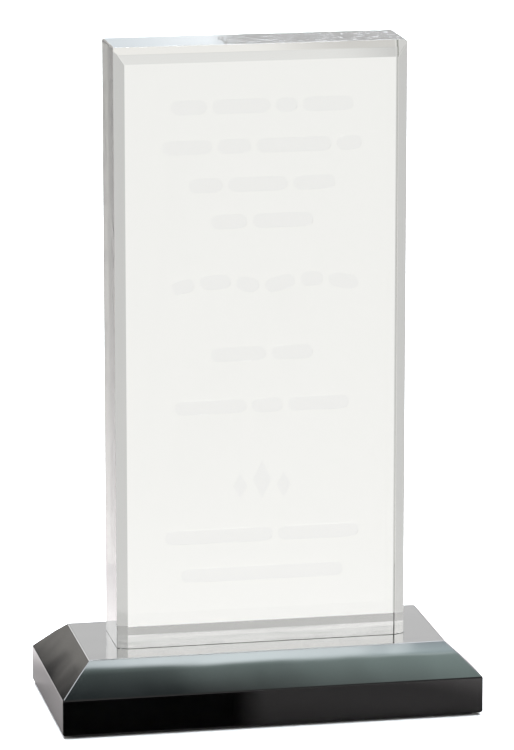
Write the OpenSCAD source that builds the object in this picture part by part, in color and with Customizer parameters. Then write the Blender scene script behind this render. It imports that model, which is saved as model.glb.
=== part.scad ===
// Free-standing crystal award: a clear bevelled slab bonded upright on a black glass plinth.
// Origin: on the table, at the middle of the footprint. +Z is up and -Y is the bevelled front.
// All lengths are in millimetres.

/* [Edges] */
// Small arris on the slab's back and top corners, and round the foot of the plinth
arris = 0.5; // [0.2:0.1:1]

/* [Crystal slab] */
// Width of the slab, side to side
slab_w = 100; // [80:1:120]
// Thickness of the slab, front to back
slab_t = 25; // [18:0.5:32]
// Height of the slab above the plinth
slab_h = 206; // [150:1:260]
// Width of the polished bevel down each side of the front face
side_bevel_w = 3.5; // [2:0.1:8]
// Depth that the side bevels are ground back into the thickness
side_bevel_depth = 1.8; // [0.8:0.1:4]
// Height of the polished bevel along the top of the front face
top_bevel_h = 3.3; // [1:0.1:6]
// Depth that the top bevel is ground back
top_bevel_depth = 1.1; // [0.4:0.1:2]
// Height of the facet between the top bevel and the top face, which leans back further
top_facet_h = 2.3; // [1:0.1:4]
// Depth that this facet is ground back
top_facet_depth = 1.5; // [0.5:0.1:4]

/* [Black plinth] */
// Width of the plinth, side to side
plinth_w = 145; // [135:1:180]
// Depth of the plinth, front to back
plinth_d = 69; // [64:1:100]
// Height of the upright wall below the bevels
wall_h = 12.6; // [8:0.1:25]
// How far the lower bevel steps in
lower_bevel_in = 6.6; // [3:0.1:8]
// How far the lower bevel rises
lower_bevel_up = 6.6; // [3:0.1:9]
// How far the upper, flatter bevel steps in
upper_bevel_in = 4.4; // [2:0.1:6]
// How far the upper, flatter bevel rises
upper_bevel_up = 3.9; // [1.5:0.1:6]

/* [Bonding] */
// Thickness of the cured adhesive film between slab and plinth
bond_t = 0.1; // [0.05:0.05:0.3]
// How far the adhesive film stops short of the slab's edges
bond_inset = 0.8; // [0.2:0.1:2]

/* [Felt pad] */
// Thickness of the felt under the plinth
felt_t = 0.7; // [0.5:0.1:2]
// Thickness of the felt's adhesive backing
tape_t = 0.1; // [0.05:0.05:0.2]
// How far the felt stops short of the plinth's edges
felt_inset = 1.5; // [1:0.5:8]
// Corner radius of the felt
felt_r = 4; // [1:0.5:8]

/* [Hidden] */
$fn = 64;

plinth_z = felt_t + tape_t;
plinth_h = wall_h + lower_bevel_up + upper_bevel_up;
bond_z = plinth_z + plinth_h;
slab_z = bond_z + bond_t;
felt_w = plinth_w - 2 * felt_inset;
felt_d = plinth_d - 2 * felt_inset;

// A profile drawn as [x, z] and pushed length mm along Y, centred on Y = 0.
module along_y(length) {
    rotate([90, 0, 0]) linear_extrude(height = length, center = true) children();
}

// A profile drawn as [y, z] and pushed length mm along X, centred on X = 0.
module along_x(length) {
    rotate([90, 0, 90]) linear_extrude(height = length, center = true) children();
}

// Plan of the slab: wide bevels at the two front corners, small arrises at the back.
module slab_plan() {
    half_w = slab_w / 2;
    half_t = slab_t / 2;
    polygon([
        [-half_w + side_bevel_w, -half_t],
        [half_w - side_bevel_w, -half_t],
        [half_w, -half_t + side_bevel_depth],
        [half_w, half_t - arris],
        [half_w - arris, half_t],
        [-half_w + arris, half_t],
        [-half_w, half_t - arris],
        [-half_w, -half_t + side_bevel_depth]
    ]);
}

// Side view of the slab: a bevel and a flatter facet at the top of the front, an arris at the back.
module slab_side() {
    half_t = slab_t / 2;
    facet_z = slab_h - top_facet_h;
    polygon([
        [-half_t, 0],
        [half_t, 0],
        [half_t, slab_h - arris],
        [half_t - arris, slab_h],
        [-half_t + top_bevel_depth + top_facet_depth, slab_h],
        [-half_t + top_bevel_depth, facet_z],
        [-half_t, facet_z - top_bevel_h]
    ]);
}

// Front view of the slab: small arrises where the top meets the two sides.
module slab_front() {
    half_w = slab_w / 2;
    polygon([
        [-half_w, 0],
        [half_w, 0],
        [half_w, slab_h - arris],
        [half_w - arris, slab_h],
        [-half_w + arris, slab_h],
        [-half_w, slab_h - arris]
    ]);
}

// The clear slab, standing on the adhesive film with its bevelled face to the front.
module crystal_slab() {
    color([0.93, 0.95, 0.94, 0.4])
    translate([0, 0, slab_z])
    intersection() {
        linear_extrude(height = slab_h) slab_plan();
        along_x(2 * slab_w) slab_side();
        along_y(2 * slab_t) slab_front();
    }
}

// The film of cured adhesive that holds the slab on the plinth.
module bond_film() {
    film_w = slab_w - 2 * bond_inset;
    film_d = slab_t - 2 * bond_inset;
    color([0.9, 0.93, 0.95, 0.6])
    translate([-film_w / 2, -film_d / 2, bond_z]) cube([film_w, film_d, bond_t]);
}

// Cross-section of the plinth at that width: upright walls, then two bevels up to the top face.
module plinth_profile(width) {
    half = width / 2;
    shoulder = wall_h + lower_bevel_up;
    polygon([
        [-half + arris, 0],
        [half - arris, 0],
        [half, arris],
        [half, wall_h],
        [half - lower_bevel_in, shoulder],
        [half - lower_bevel_in - upper_bevel_in, plinth_h],
        [-half + lower_bevel_in + upper_bevel_in, plinth_h],
        [-half + lower_bevel_in, shoulder],
        [-half, wall_h],
        [-half, arris]
    ]);
}

// The black glass plinth, ground to the same two bevels on all four sides.
module plinth() {
    color([0.03, 0.035, 0.035])
    translate([0, 0, plinth_z])
    intersection() {
        along_y(2 * plinth_d) plinth_profile(plinth_w);
        along_x(2 * plinth_w) plinth_profile(plinth_d);
    }
}

// A flat sheet with round corners, as wide and deep as the felt pad.
module pad_sheet(thickness) {
    corner_x = felt_w / 2 - felt_r;
    corner_y = felt_d / 2 - felt_r;
    linear_extrude(height = thickness) {
        square([felt_w, 2 * corner_y], center = true);
        square([2 * corner_x, felt_d], center = true);
        for (side_x = [-1, 1], side_y = [-1, 1]) {
            translate([side_x * corner_x, side_y * corner_y]) circle(r = felt_r);
        }
    }
}

// The felt's adhesive backing, stuck to the underside of the plinth.
module pad_adhesive() {
    color([0.75, 0.72, 0.62])
    translate([0, 0, felt_t]) pad_sheet(tape_t);
}

// The black felt that the award rests on.
module felt_pad() {
    color([0.06, 0.06, 0.065])
    pad_sheet(felt_t);
}

crystal_slab();
bond_film();
plinth();
pad_adhesive();
felt_pad();
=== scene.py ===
"""Crystal award: a clear bevelled slab on a black glass plinth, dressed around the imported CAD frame."""

import math

import bmesh
import bpy
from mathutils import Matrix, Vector


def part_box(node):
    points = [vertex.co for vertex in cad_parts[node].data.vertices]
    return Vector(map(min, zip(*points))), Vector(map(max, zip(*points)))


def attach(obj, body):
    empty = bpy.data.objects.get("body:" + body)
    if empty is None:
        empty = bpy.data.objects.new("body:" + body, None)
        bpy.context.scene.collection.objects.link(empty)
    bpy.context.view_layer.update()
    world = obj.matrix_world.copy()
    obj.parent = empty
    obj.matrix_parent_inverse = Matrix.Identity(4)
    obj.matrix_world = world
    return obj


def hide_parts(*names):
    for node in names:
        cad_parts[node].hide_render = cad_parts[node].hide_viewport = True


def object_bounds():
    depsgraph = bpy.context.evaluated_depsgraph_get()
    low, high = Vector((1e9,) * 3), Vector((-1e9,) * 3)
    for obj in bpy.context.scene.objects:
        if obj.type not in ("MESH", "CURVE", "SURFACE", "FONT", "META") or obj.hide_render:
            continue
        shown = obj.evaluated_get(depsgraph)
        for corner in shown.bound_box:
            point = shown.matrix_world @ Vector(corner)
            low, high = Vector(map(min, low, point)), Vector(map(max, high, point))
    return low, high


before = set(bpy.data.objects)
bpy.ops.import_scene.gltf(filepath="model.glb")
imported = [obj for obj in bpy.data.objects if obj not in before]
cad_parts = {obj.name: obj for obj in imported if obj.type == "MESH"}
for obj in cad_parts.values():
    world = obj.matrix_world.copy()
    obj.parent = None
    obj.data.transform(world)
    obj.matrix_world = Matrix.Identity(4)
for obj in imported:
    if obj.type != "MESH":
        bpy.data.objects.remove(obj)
CAD_LOW, CAD_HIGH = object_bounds()

MM = 0.001
LEFT, RIGHT = Vector((-1, 0, 0)), Vector((1, 0, 0))
FRONT, BACK = Vector((0, -1, 0)), Vector((0, 1, 0))
UP, DOWN = Vector((0, 0, 1)), Vector((0, 0, -1))

# Crystal slab: widths of its ground faces, as on the CAD node
SIDE_BEVEL_WIDTH = 3.5 * MM
SIDE_BEVEL_DEPTH = 1.8 * MM
TOP_BEVEL_HEIGHT = 3.3 * MM
TOP_BEVEL_DEPTH = 1.1 * MM
TOP_FACET_HEIGHT = 2.3 * MM
TOP_FACET_DEPTH = 1.5 * MM
ARRIS = 0.5 * MM
POLISHED_ROUNDING = 0.14 * MM
POLISHED_TINT = (1, 1, 0.985, 1)
# The slab is made this much too long at the foot, and is sawn off level once its edges are rounded
SPARE_HEIGHT = 1 * MM
# How far the sawn foot stays clear of the adhesive film
FOOT_GAP = 0.01 * MM

# Specks in the polish of the slab's top face, which fade in from left to right
SPECKS_PER_METRE = 380
SPECKS_START, SPECKS_FULL = -13 * MM, -9 * MM

# Plinth: the upright wall, and how far each ground bevel steps in and rises
WALL_HEIGHT = 12.6 * MM
LOWER_BEVEL = Vector((6.6, 6.6)) * MM
UPPER_BEVEL = Vector((4.4, 3.9)) * MM
PLINTH_ROUNDING = 0.35 * MM

# Engraving: plain marks ground into the front face, at heights above the foot of the slab
ENGRAVING_DEPTH = 0.08 * MM
FROST_LOW, FROST_HIGH = 0.06, 0.11
MARK_HEIGHT = 4.8 * MM
DASH_END_STEPS = 6
# The gap between two dashes, as a part of their height
DASH_GAP = 0.4
# Each row: height, width, proportions of its dashes
MARK_ROWS = (
    (185.5 * MM, 62 * MM, (5, 8, 3, 7)),
    (172 * MM, 68 * MM, (6, 4, 9, 3)),
    (159 * MM, 50 * MM, (4, 7, 5)),
    (146.5 * MM, 35 * MM, (3, 5)),
    (101 * MM, 35 * MM, (4, 3)),
    (83 * MM, 60 * MM, (7, 3, 6)),
    (38 * MM, 67 * MM, (8, 6)),
    (24.5 * MM, 56 * MM, (1,)),
)
# Each arc: middle, width, proportions of its dashes
MARK_ARCS = (
    (-16 * MM, 30 * MM, (3, 4, 3)),
    (17 * MM, 32 * MM, (4, 3, 4)),
)
ARC_TOP = 126 * MM
ARC_RADIUS = 52 * MM
# Each lozenge: across, up, half width, half height
LOZENGES = (
    (0, 57 * MM, 3.2 * MM, 6.5 * MM),
    (-7.5 * MM, 55 * MM, 2.5 * MM, 4.4 * MM),
    (7.5 * MM, 55 * MM, 2.5 * MM, 4.4 * MM),
)

# Felt and its adhesive backing, with corners as on the CAD nodes
FELT_CORNER = 4 * MM
FELT_CORNER_STEPS = 12
FELT_ROUNDING = 0.18 * MM

# The photographer's place: angles in degrees, distances in metres, the lens in millimetres
VIEW_AZIMUTH = 11.24
VIEW_ELEVATION = -12.76
CAMERA_DISTANCE = 1.5775
CAMERA_LENS = 222.5
CAMERA_NEAR, CAMERA_FAR = 0.05, 50
# How far off the middle of the award the camera aims
AIM_RIGHT = 0.7 * MM
AIM_DOWN = 0.4 * MM

# Table: its tone, where its rim fades out, and the painted reflection that polished faces mirror of it.
# The mirrored
# tone is painted: a strength times a power of the distance in metres, with painted shade close to the
# plinth.
FLOOR_RADIUS = 4.0
FLOOR_SEGMENTS = 96
FLOOR_TONE = (0.95, 0.95, 0.95, 1)
FLOOR_FADE_START, FLOOR_FADE_END = 0.5 * FLOOR_RADIUS, 0.98 * FLOOR_RADIUS
PAINTED_MIRROR_STRENGTH = 0.187
PAINTED_MIRROR_FALL = -0.62
# Painted shade on the mirrored table tone: where it starts and ends, and its tone near and far
SHADE_START, SHADE_END = 88 * MM, 125 * MM
SHADE_NEAR, SHADE_FAR = 0.26, 0.92

# Black card on the table
FLAG_LEFT, FLAG_RIGHT = -300 * MM, -1 * MM
FLAG_FADE = 14 * MM
FLAG_DEPTH = 68 * MM
FLAG_HEIGHT = 0.3 * MM
FLAG_GAP = 0.5 * MM

# Mesh building
CUT_TOLERANCE = 1e-7
ROUNDED_FROM = math.radians(12)
SHARP_FROM = math.radians(40)
# A face lies level if its unit normal rises or falls at least this much
LEVEL = 0.999


# ---------------------------------------------------------------- shader helpers

def socket_key(name):
    """The socket that a keyword means: i0 is the first, and Base_Color the one named Base Color."""
    if name[0] == "i" and name[1:].isdigit():
        return int(name[1:])
    return name.replace("_", " ")


class Shader:
    """A node tree with short calls for the few kinds of node that the materials use."""

    def __init__(self, tree):
        self.tree = tree
        tree.nodes.clear()

    def node(self, kind, settings=None, **inputs):
        made = self.tree.nodes.new(kind)
        for name, value in (settings or {}).items():
            setattr(made, name, value)
        for name, value in inputs.items():
            self.feed(made.inputs[socket_key(name)], value)
        return made

    def feed(self, socket, value):
        if isinstance(value, bpy.types.NodeSocket):
            self.tree.links.new(value, socket)
        else:
            socket.default_value = value

    def math(self, operation, a, b=0.0):
        return self.node("ShaderNodeMath", {"operation": operation}, i0=a, i1=b).outputs[0]

    def vector_math(self, operation, **inputs):
        return self.node("ShaderNodeVectorMath", {"operation": operation}, **inputs).outputs

    def dot(self, vector, fixed):
        return self.vector_math("DOT_PRODUCT", i0=vector, i1=fixed)["Value"]

    def length(self, vector):
        return self.vector_math("LENGTH", i0=vector)["Value"]

    def scaled(self, colour, factor):
        return self.vector_math("SCALE", i0=colour, Scale=factor)["Vector"]

    def added(self, a, b):
        return self.vector_math("ADD", i0=a, i1=b)["Vector"]

    def smooth(self, value, start, end, low=0.0, high=1.0):
        """A soft step from low to high as the value goes from start to end."""
        made = self.node("ShaderNodeMapRange", {"interpolation_type": "SMOOTHSTEP"}, Value=value,
                         From_Min=start, From_Max=end, To_Min=low, To_Max=high)
        return made.outputs["Result"]

    def grey(self, tone):
        return self.node("ShaderNodeCombineColor", Red=tone, Green=tone, Blue=tone).outputs[0]

    def mixed_colour(self, factor, first, second):
        made = self.node("ShaderNodeMix", {"data_type": "RGBA"}, Factor=factor, i6=first, i7=second)
        return made.outputs[2]

    def mixed_shader(self, factor, first, second):
        return self.node("ShaderNodeMixShader", i0=factor, i1=first, i2=second).outputs[0]

    def place(self):
        return self.node("ShaderNodeTexCoord").outputs["Object"]

    def noise(self, scale, detail, roughness=0.5, stretch=(1, 1, 1)):
        mapped = self.node("ShaderNodeMapping", Vector=self.place(), Scale=stretch).outputs["Vector"]
        made = self.node("ShaderNodeTexNoise", Vector=mapped, Scale=scale, Detail=detail,
                         Roughness=roughness)
        return made.outputs["Fac"]

    def bump(self, height, strength, distance):
        made = self.node("ShaderNodeBump", Height=height, Strength=strength, Distance=distance)
        return made.outputs["Normal"]

    def transparent(self):
        return self.node("ShaderNodeBsdfTransparent").outputs[0]


def new_material(name):
    material = bpy.data.materials.new(name)
    material.use_nodes = True
    return material, Shader(material.node_tree)


def finish_material(s, surface, volume=None):
    output = s.node("ShaderNodeOutputMaterial", Surface=surface)
    if volume is not None:
        s.feed(output.inputs["Volume"], volume)


# ---------------------------------------------------------------- materials

def finish_crystal(s, tint, roughness, normal):
    """Optical glass in one of the slab's finishes, and the faint tint that builds up inside it."""
    glass = s.node("ShaderNodeBsdfPrincipled", Base_Color=tint, Roughness=roughness, IOR=1.51,
                   Transmission_Weight=1.0, Normal=normal)
    body = s.node("ShaderNodeVolumeAbsorption", Color=(0.82, 0.83, 0.78, 1), Density=10.0)
    finish_material(s, glass.outputs[0], body.outputs[0])


def crystal_material():
    """Clear polished optical glass with the faintest warm tint and polishing haze."""
    material, s = new_material("polished_crystal")
    haze = s.smooth(s.noise(scale=900, detail=3), 0.45, 0.75, low=0.0, high=0.012)
    swirl = s.bump(s.noise(scale=60, detail=1), strength=0.02, distance=0.4 * MM)
    finish_crystal(s, POLISHED_TINT, haze, swirl)
    return material


def speckled_top_material():
    """The slab's top face, with the specks of a coarser polish towards the right."""
    material, s = new_material("speckled_top")
    place = s.place()
    cells = s.node("ShaderNodeTexVoronoi", Vector=place, Scale=SPECKS_PER_METRE).outputs["Distance"]
    towards_right = s.smooth(s.dot(place, RIGHT), SPECKS_START, SPECKS_FULL)
    specks = s.math("MULTIPLY", s.smooth(cells, 0.2, 0.5, low=1.0, high=0.0), towards_right)
    roughness = s.smooth(specks, 0, 1, low=0.0, high=0.03)
    finish_crystal(s, POLISHED_TINT, roughness, s.bump(specks, strength=1.0, distance=0.3 * MM))
    return material


def bonded_foot_material():
    """The slab's underside, wetted by the adhesive: dark from above and silvery at a low angle."""
    material, s = new_material("bonded_foot")
    streaks = s.noise(scale=40, detail=3, stretch=(1, 3, 1))
    tone = s.smooth(streaks, 0.3, 0.7, low=0.03, high=0.06)
    grain = s.noise(scale=2500, detail=3)
    foot = s.node("ShaderNodeBsdfPrincipled", Base_Color=s.grey(tone), IOR=1.16,
                  Roughness=s.smooth(streaks, 0.35, 0.65, low=0.04, high=0.12),
                  Normal=s.bump(grain, strength=0.1, distance=0.02 * MM))
    finish_material(s, foot.outputs[0])
    return material


def engraving_material():
    """The frosted floor of the ground marks."""
    material, s = new_material("engraved_frost")
    grain = s.noise(scale=3500, detail=3)
    frost = s.smooth(grain, 0.3, 0.7, low=FROST_LOW, high=FROST_HIGH)
    finish_crystal(s, (0.985, 0.985, 0.98, 1), frost, s.bump(grain, strength=0.1, distance=0.02 * MM))
    return material


def black_glass_material():
    """Black glass: a deep gloss whose polish wavers a little over its bevels."""
    material, s = new_material("black_glass")
    smear = s.smooth(s.noise(scale=45, detail=3, stretch=(1, 2, 2)), 0.35, 0.7, low=0.03, high=0.075)
    wave = s.bump(s.noise(scale=26, detail=1.5), strength=0.22, distance=0.8 * MM)
    tone = s.smooth(s.noise(scale=300, detail=4), 0.3, 0.7, low=0.0006, high=0.0014)
    glass = s.node("ShaderNodeBsdfPrincipled", Base_Color=s.grey(tone), Roughness=smear, IOR=1.5,
                   Normal=wave)
    finish_material(s, glass.outputs[0])
    return material


def adhesive_film_material():
    """The cured film under the slab, clear with a few cloudy patches."""
    material, s = new_material("cured_adhesive")
    cloud = s.smooth(s.noise(scale=160, detail=3), 0.5, 0.8, low=0.08, high=0.35)
    film = s.node("ShaderNodeBsdfPrincipled", Base_Color=(0.93, 0.94, 0.95, 1), Roughness=cloud,
                  IOR=1.48, Transmission_Weight=0.9)
    finish_material(s, film.outputs[0])
    return material


def felt_material():
    """Black wool felt: matted fibres with a soft bloom."""
    material, s = new_material("black_felt")
    fibres = s.noise(scale=2600, detail=5, roughness=0.7, stretch=(1, 0.35, 1))
    clumps = s.noise(scale=320, detail=3)
    tone = s.smooth(s.math("ADD", fibres, clumps), 0.7, 1.4, low=0.008, high=0.03)
    felt = s.node("ShaderNodeBsdfPrincipled", Base_Color=s.grey(tone),
                  Roughness=s.smooth(fibres, 0.3, 0.7, low=0.85, high=1.0),
                  Sheen_Weight=0.4, Sheen_Roughness=0.6,
                  Normal=s.bump(fibres, strength=0.8, distance=0.2 * MM))
    finish_material(s, felt.outputs[0])
    return material


def tape_material():
    """The felt's pale paper-backed adhesive."""
    material, s = new_material("adhesive_backing")
    flecks = s.noise(scale=900, detail=4)
    fleck_tone = s.smooth(flecks, 0.3, 0.7)
    colour = s.mixed_colour(fleck_tone, (0.52, 0.49, 0.4, 1), (0.6, 0.57, 0.47, 1))
    tape = s.node("ShaderNodeBsdfPrincipled", Base_Color=colour,
                  Roughness=s.smooth(flecks, 0.3, 0.7, low=0.45, high=0.65),
                  Normal=s.bump(flecks, strength=0.2, distance=0.05 * MM))
    finish_material(s, tape.outputs[0])
    return material


# ---------------------------------------------------------------- mesh helpers

def block(low, high):
    """A new bmesh box between two corners."""
    bm = bmesh.new()
    bmesh.ops.create_cube(bm, size=1)
    bmesh.ops.scale(bm, vec=high - low, verts=bm.verts)
    bmesh.ops.translate(bm, vec=(low + high) / 2, verts=bm.verts)
    return bm


def grind(bm, point, outward):
    """Grinds a convex block flat at a plane: what lies outward of it goes and one face closes it."""
    everything = bm.verts[:] + bm.edges[:] + bm.faces[:]
    made = bmesh.ops.bisect_plane(bm, geom=everything, dist=CUT_TOLERANCE, plane_co=point,
                                  plane_no=outward, clear_outer=True)
    rim = [e for e in made["geom_cut"] if isinstance(e, bmesh.types.BMEdge)]
    bmesh.ops.edgenet_fill(bm, edges=rim)
    bmesh.ops.recalc_face_normals(bm, faces=bm.faces)


def piece_from(bm, name, *materials):
    """Makes an object of that name from a bmesh, with a material slot for each material."""
    mesh = bpy.data.meshes.new(name)
    bm.to_mesh(mesh)
    bm.free()
    for material in materials:
        mesh.materials.append(material)
    piece = bpy.data.objects.new(name, mesh)
    bpy.context.scene.collection.objects.link(piece)
    return piece


def saw_off(piece, height):
    """Cuts a piece off level, leaving a crisp foot."""
    bm = bmesh.new()
    bm.from_mesh(piece.data)
    grind(bm, UP * height, DOWN)
    bm.to_mesh(piece.data)
    bm.free()


def apply_modifiers(piece):
    """Bakes a piece's modifiers into its mesh."""
    graph = bpy.context.evaluated_depsgraph_get()
    mesh = bpy.data.meshes.new_from_object(piece.evaluated_get(graph))
    piece.modifiers.clear()
    piece.data = mesh


def round_edges(piece, width, segments):
    """Rounds every edge between faces that meet at a clear angle."""
    rounding = piece.modifiers.new("rounding", "BEVEL")
    rounding.width = width
    rounding.segments = segments
    rounding.limit_method = "ANGLE"
    rounding.angle_limit = ROUNDED_FROM
    rounding.harden_normals = True
    piece.data.polygons.foreach_set("use_smooth", [True] * len(piece.data.polygons))


# ---------------------------------------------------------------- engraved marks

def rounded_dash(length, height):
    """The outline of a dash with round ends, centred on (0, 0) and drawn as (x, z)."""
    radius = height / 2
    outline = []
    for end, start in ((1, -90), (-1, 90)):
        for step in range(DASH_END_STEPS + 1):
            angle = math.radians(start + 180 * step / DASH_END_STEPS)
            outline.append((end * (length / 2 - radius) + radius * math.cos(angle),
                            radius * math.sin(angle)))
    return outline


def dash_row(width, height, weights):
    """Dashes side by side over a width, as (centre, length), with lengths in the given proportions."""
    gap = height * DASH_GAP
    scale = (width - gap * (len(weights) - 1)) / sum(weights)
    left = -width / 2
    dashes = []
    for weight in weights:
        dashes.append((left + weight * scale / 2, weight * scale))
        left += weight * scale + gap
    return dashes


def lozenge(half_width, half_height):
    """The outline of an upright lozenge, centred on (0, 0) and drawn as (x, z)."""
    return [(half_width, 0), (0, half_height), (-half_width, 0), (0, -half_height)]


def sink_mark(bm, outline, centre, tilt, face_y, floor_slot):
    """Adds the cutter of one mark: its outline, turned by tilt, from before the face to its floor."""
    cosine, sine = math.cos(tilt), math.sin(tilt)
    places = [(centre[0] + x * cosine - z * sine, centre[1] + x * sine + z * cosine)
              for x, z in outline]
    front = [bm.verts.new((x, face_y - ENGRAVING_DEPTH, z)) for x, z in places]
    deep = [bm.verts.new((x, face_y + ENGRAVING_DEPTH, z)) for x, z in places]
    bm.faces.new(front)
    floor_face = bm.faces.new(deep[::-1])
    floor_face.material_index = floor_slot
    for i in range(len(outline)):
        j = (i + 1) % len(outline)
        bm.faces.new((front[j], front[i], deep[i], deep[j]))


def mark_cutter(face_y, foot_z, walls, floors):
    """Everything that is engraved: rows of dashes, two shallow arcs and a group of three lozenges."""
    bm = bmesh.new()
    materials = [walls, floors]
    frosted = materials.index(floors)
    for up, width, weights in MARK_ROWS:
        for x, length in dash_row(width, MARK_HEIGHT, weights):
            outline = rounded_dash(length, MARK_HEIGHT)
            sink_mark(bm, outline, (x, foot_z + up), 0, face_y, frosted)
    for centre_x, width, weights in MARK_ARCS:
        for x, length in dash_row(width, MARK_HEIGHT, weights):
            outline = rounded_dash(length, MARK_HEIGHT)
            drop = x * x / (2 * ARC_RADIUS)
            place = (centre_x + x, foot_z + ARC_TOP - drop)
            sink_mark(bm, outline, place, -math.asin(x / ARC_RADIUS), face_y, frosted)
    for x, z, half_width, half_height in LOZENGES:
        sink_mark(bm, lozenge(half_width, half_height), (x, foot_z + z), 0, face_y, frosted)
    bmesh.ops.recalc_face_normals(bm, faces=bm.faces)
    return piece_from(bm, "mark_cutter", *materials)


def engrave(piece, cutter):
    """Cuts the marks into a piece, whose new faces take the cutter's materials, and drops the cutter."""
    engraving = piece.modifiers.new("engraving", "BOOLEAN")
    engraving.operation = "DIFFERENCE"
    engraving.solver = "EXACT"
    engraving.material_mode = "TRANSFER"
    engraving.object = cutter
    apply_modifiers(piece)
    bpy.data.objects.remove(cutter)


# ---------------------------------------------------------------- pieces

def ground_crystal(low, high):
    """The slab's block with its bevels, facets and arrises ground, and spare height at the foot."""
    bm = block(low - UP * SPARE_HEIGHT, high)
    for side, x in ((LEFT, low.x), (RIGHT, high.x)):
        front_corner = Vector((x, low.y, low.z))
        back_corner = Vector((x, high.y, low.z))
        top_corner = Vector((x, high.y, high.z))
        grind(bm, front_corner - side * SIDE_BEVEL_WIDTH,
              (side * SIDE_BEVEL_DEPTH + FRONT * SIDE_BEVEL_WIDTH).normalized())
        grind(bm, back_corner - side * ARRIS, (side + BACK).normalized())
        grind(bm, top_corner - side * ARRIS, (side + UP).normalized())
    facet_foot = Vector((0, low.y + TOP_BEVEL_DEPTH, high.z - TOP_FACET_HEIGHT))
    grind(bm, facet_foot, (FRONT * TOP_BEVEL_HEIGHT + UP * TOP_BEVEL_DEPTH).normalized())
    grind(bm, facet_foot, (FRONT * TOP_FACET_HEIGHT + UP * TOP_FACET_DEPTH).normalized())
    grind(bm, Vector((0, high.y - ARRIS, high.z)), (BACK + UP).normalized())
    return bm


def set_level_faces(piece, foot_z, foot_slot, top_z, top_slot):
    """Gives the level faces at a piece's foot and top their own material slots."""
    for polygon in piece.data.polygons:
        if polygon.normal.z < -LEVEL and polygon.center.z < foot_z + ARRIS:
            polygon.material_index = foot_slot
        if polygon.normal.z > LEVEL and polygon.center.z > top_z - ARRIS:
            polygon.material_index = top_slot


def flatten_faces(piece):
    """Keeps the shading of the ground faces flat right up to the rounded edges between them."""
    piece.data.set_sharp_from_angle(angle=SHARP_FROM)
    flatten = piece.modifiers.new("flat_faces", "WEIGHTED_NORMAL")
    flatten.weight = 100
    flatten.keep_sharp = True
    apply_modifiers(piece)


def crystal_slab():
    """The slab with its ground faces, crisp foot, speckled top and engraved marks."""
    low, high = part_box("crystal_slab")
    crystal, foot = crystal_material(), bonded_foot_material()
    top, frost = speckled_top_material(), engraving_material()
    materials = [crystal, foot, top, frost]
    made = piece_from(ground_crystal(low, high), "crystal_slab_polished", *materials)
    round_edges(made, POLISHED_ROUNDING, 2)
    apply_modifiers(made)
    saw_off(made, low.z + FOOT_GAP)
    engrave(made, mark_cutter(low.y, low.z, crystal, frost))
    set_level_faces(made, low.z, materials.index(foot), high.z, materials.index(top))
    flatten_faces(made)
    return made


def plinth():
    """The black glass plinth, ground to the same two bevels on all four sides."""
    low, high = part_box("plinth")
    bm = block(low, high)
    sides = ((LEFT, Vector((low.x, 0, 0))), (RIGHT, Vector((high.x, 0, 0))),
             (FRONT, Vector((0, low.y, 0))), (BACK, Vector((0, high.y, 0))))
    wall_top = UP * (low.z + WALL_HEIGHT)
    for side, edge in sides:
        grind(bm, edge + wall_top, (side * LOWER_BEVEL.y + UP * LOWER_BEVEL.x).normalized())
        shoulder = edge + wall_top - side * LOWER_BEVEL.x + UP * LOWER_BEVEL.y
        grind(bm, shoulder, (side * UPPER_BEVEL.y + UP * UPPER_BEVEL.x).normalized())
        grind(bm, edge + UP * (low.z + ARRIS), (side + DOWN).normalized())
    made = piece_from(bm, "plinth_black_glass", black_glass_material())
    round_edges(made, PLINTH_ROUNDING, 4)
    return made


def rounded_sheet(node, name, material, rounding):
    """A sheet with round corners that fills a node's box, with a softened rim."""
    low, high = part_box(node)
    ring = []
    for corner_x, corner_y, start in ((high.x, high.y, 0), (low.x, high.y, 90),
                                      (low.x, low.y, 180), (high.x, low.y, 270)):
        centre_x = corner_x - math.copysign(FELT_CORNER, corner_x)
        centre_y = corner_y - math.copysign(FELT_CORNER, corner_y)
        for step in range(FELT_CORNER_STEPS + 1):
            angle = math.radians(start + 90 * step / FELT_CORNER_STEPS)
            ring.append(Vector((centre_x + FELT_CORNER * math.cos(angle),
                                centre_y + FELT_CORNER * math.sin(angle), low.z)))
    bm = bmesh.new()
    bottom = bm.faces.new([bm.verts.new(v) for v in ring])
    bmesh.ops.extrude_face_region(bm, geom=[bottom])
    for v in bm.verts[len(ring):]:
        v.co.z = high.z
    bmesh.ops.recalc_face_normals(bm, faces=bm.faces)
    made = piece_from(bm, name, material)
    round_edges(made, rounding, 2)
    return made


# ---------------------------------------------------------------- studio

NEUTRAL, WARM, COOL = (1, 1, 1), (1, 0.96, 0.9), (0.84, 0.94, 1.0)
GREEN_GREY = (0.76, 1.0, 0.95)
BACKDROP_TINT = (1, 1, 0.99)
BANK_TINT = (0.91, 0.95, 1.0)
# Warm tint painted into the table's reflection, not the table's own colour
PAINTED_MIRROR_TINT = (1, 0.92, 0.89)
# As a shade, this takes away more red than green and blue
RED_SHADE = (1, 0.7, 0.65)
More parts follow.
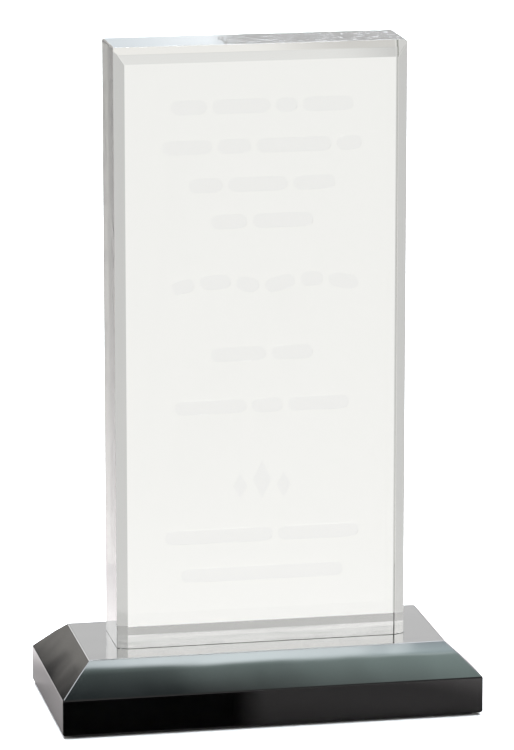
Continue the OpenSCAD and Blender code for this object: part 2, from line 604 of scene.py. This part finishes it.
# Each card of the studio: azimuth, elevation, half width, half height, softness, colour, strength.
# Angles are in degrees. A card of negative strength takes light away.
CARDS = {
    "backdrop behind the award": (VIEW_AZIMUTH, -11, 4.5, 5.5, 4, BACKDROP_TINT, 0.345),
    "pale sweep below": (11, -30, 40, 8, 8, NEUTRAL, 0.06),
    "warm table edge": (6.5, -27, 6.8, 4, 3, WARM, 0.24),
    "low back light": (4.5, 16.2, 19.5, 2.4, 2.2, NEUTRAL, 1.5),
    "strip light behind, left": (2, 8.2, 8.5, 3.6, 0.5, COOL, 1.15),
    "strip light behind, right": (18, 8.2, 7, 3.2, 1.6, NEUTRAL, 0.44),
    "edge of the back light": (-5, 9.6, 10.6, 4, 1.2, WARM, 0.71),
    "overhead bank": (11, 68, 30, 31.5, 2, BANK_TINT, 10.8),
    "barn door, right": (90, 73, 12.5, 4, 0.6, NEUTRAL, -6.4),
    "barn door, left": (90, 86, 12.5, 5, 0.6, NEUTRAL, -2.0),
    "ceiling bounce": (135, 65, 0, 10, 5.5, GREEN_GREY, 4.6),
    "dark ceiling, left": (158, 70.5, 1.5, 4, 3, RED_SHADE, -0.34),
    "dark corner behind, left": (-24, 10, 8, 10, 4, NEUTRAL, -0.49),
    "dark corner behind, low right": (17, -25, 2.8, 7, 1.4, NEUTRAL, -0.25),
    "small lamp behind, left": (-11.2, 15.8, 1.8, 1.8, 1.2, NEUTRAL, 4.2),
}
BRIGHTER_THROUGH_GLASS = (8, 16.2, 12, 2.4, 2.2, NEUTRAL, 1.1)
STUDIO_GREY = 0.6
PLAIN_WHITE = (1.02, 1.02, 1.02, 1)


def unit(azimuth, elevation):
    """The direction that lies at that azimuth, seen from above with 0 along +Y and 90 along +X."""
    a, e = math.radians(azimuth), math.radians(elevation)
    return Vector((math.sin(a) * math.cos(e), math.cos(a) * math.cos(e), math.sin(e)))


def softbox(s, direction, azimuth, elevation, half_width, half_height, softness, colour, strength):
    """The light of one card: a soft-edged rectangle in the sky."""
    centre = unit(azimuth, elevation)
    right = unit(azimuth + 90, 0)
    up = right.cross(centre)
    ahead = s.dot(direction, centre)
    mask = s.math("GREATER_THAN", ahead, 0.0)
    for axis, half in ((right, half_width), (up, half_height)):
        inner = math.tan(math.radians(half))
        outer = math.tan(math.radians(half + softness))
        offset = s.math("ABSOLUTE", s.math("DIVIDE", s.dot(direction, axis), ahead))
        mask = s.math("MULTIPLY", mask, s.smooth(offset, inner, outer, low=1.0, high=0.0))
    return s.scaled([c * strength for c in colour], mask)


def studio_light():
    """A grey studio with its cards, which the camera itself sees as a plain white background."""
    world = bpy.data.worlds.new("studio")
    bpy.context.scene.world = world
    world.use_nodes = True
    s = Shader(world.node_tree)
    direction = s.node("ShaderNodeTexCoord").outputs["Generated"]
    light = s.node("ShaderNodeCombineXYZ", X=STUDIO_GREY, Y=STUDIO_GREY, Z=STUDIO_GREY).outputs[0]
    for card in CARDS.values():
        light = s.added(light, softbox(s, direction, *card))
    seen = s.node("ShaderNodeLightPath").outputs
    through = softbox(s, direction, *BRIGHTER_THROUGH_GLASS)
    light = s.added(light, s.scaled(through, seen["Is Transmission Ray"]))
    studio = s.node("ShaderNodeBackground", Color=light).outputs[0]
    plain = s.node("ShaderNodeBackground", Color=PLAIN_WHITE).outputs[0]
    mixed = s.mixed_shader(seen["Is Camera Ray"], studio, plain)
    s.node("ShaderNodeOutputWorld", Surface=mixed)


def floor():
    """A plain pale table top. Glass looks past it to the studio, and mirrors it as a painted reflection:
    dimmer with distance, warm-tinted, with painted shade close to the plinth.
    """
    bm = bmesh.new()
    bmesh.ops.create_circle(bm, cap_ends=True, segments=FLOOR_SEGMENTS, radius=FLOOR_RADIUS)
    material, s = new_material("pale_floor")
    away = s.length(s.place())
    mirrored = s.node("ShaderNodeLightPath").outputs["Is Glossy Ray"]
    # Painted shade and reflection: glossy rays see the table darker close to the plinth, dimmer further
    # off, and warm-tinted
    near = s.smooth(away, SHADE_START, SHADE_END, low=SHADE_NEAR, high=SHADE_FAR)
    painted_mirror_falloff = s.math("MULTIPLY", s.math("POWER", away, PAINTED_MIRROR_FALL), PAINTED_MIRROR_STRENGTH)
    painted_mirror_tone = s.scaled(PAINTED_MIRROR_TINT, s.math("MULTIPLY", near, s.math("MINIMUM", painted_mirror_falloff, 1.0)))
    tone = s.mixed_colour(mirrored, FLOOR_TONE, painted_mirror_tone)
    matt = s.node("ShaderNodeBsdfDiffuse", Color=tone).outputs[0]
    fade = s.smooth(away, FLOOR_FADE_START, FLOOR_FADE_END)
    finish_material(s, s.mixed_shader(fade, matt, s.transparent()))
    made = piece_from(bm, "floor", material)
    made.visible_transmission = False


def black_flag():
    """A black card on the table, seen only where the left of the plinth's front wall mirrors it."""
    lean = math.tan(math.radians(VIEW_AZIMUTH))
    near = CAD_LOW.y - FLAG_GAP
    bm = bmesh.new()
    corners = ((FLAG_LEFT, near), (FLAG_RIGHT, near),
               (FLAG_RIGHT + FLAG_DEPTH * lean, near - FLAG_DEPTH),
               (FLAG_LEFT + FLAG_DEPTH * lean, near - FLAG_DEPTH))
    bm.faces.new([bm.verts.new((x, y, FLAG_HEIGHT)) for x, y in corners])
    material, s = new_material("black_card")
    across = s.math("SUBTRACT", s.dot(s.place(), (1, lean, 0)), near * lean)
    card = s.node("ShaderNodeBsdfDiffuse", Color=(0.004, 0.004, 0.004, 1)).outputs[0]
    edge = s.smooth(across, FLAG_RIGHT - FLAG_FADE, FLAG_RIGHT)
    finish_material(s, s.mixed_shader(edge, card, s.transparent()))
    made = piece_from(bm, "black_flag", material)
    for ray in ("camera", "diffuse", "transmission", "volume_scatter", "shadow"):
        setattr(made, "visible_" + ray, False)


def camera():
    """The camera at the photographer's place, aimed near the middle of the award."""
    data = bpy.data.cameras.new("camera")
    made = bpy.data.objects.new("camera", data)
    bpy.context.scene.collection.objects.link(made)
    bpy.context.scene.camera = made
    data.lens = CAMERA_LENS
    data.clip_start, data.clip_end = CAMERA_NEAR, CAMERA_FAR
    ahead = unit(VIEW_AZIMUTH, VIEW_ELEVATION)
    target = (CAD_LOW + CAD_HIGH) / 2 + Vector((AIM_RIGHT, 0, -AIM_DOWN))
    made.location = target - ahead * CAMERA_DISTANCE
    made.rotation_euler = ahead.to_track_quat("-Z", "Y").to_euler()


# ---------------------------------------------------------------- the scene

camera()
bpy.context.scene.view_settings.view_transform = "Standard"
studio_light()
floor()
black_flag()

slab = crystal_slab()
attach(slab, "root")
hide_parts("crystal_slab")

base = plinth()
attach(base, "root")
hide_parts("plinth")

felt = rounded_sheet("felt_pad", "felt_pad_soft", felt_material(), FELT_ROUNDING)
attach(felt, "root")
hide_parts("felt_pad")

for node, material in (("bond_film", adhesive_film_material()), ("pad_adhesive", tape_material())):
    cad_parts[node].data.materials.clear()
    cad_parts[node].data.materials.append(material)
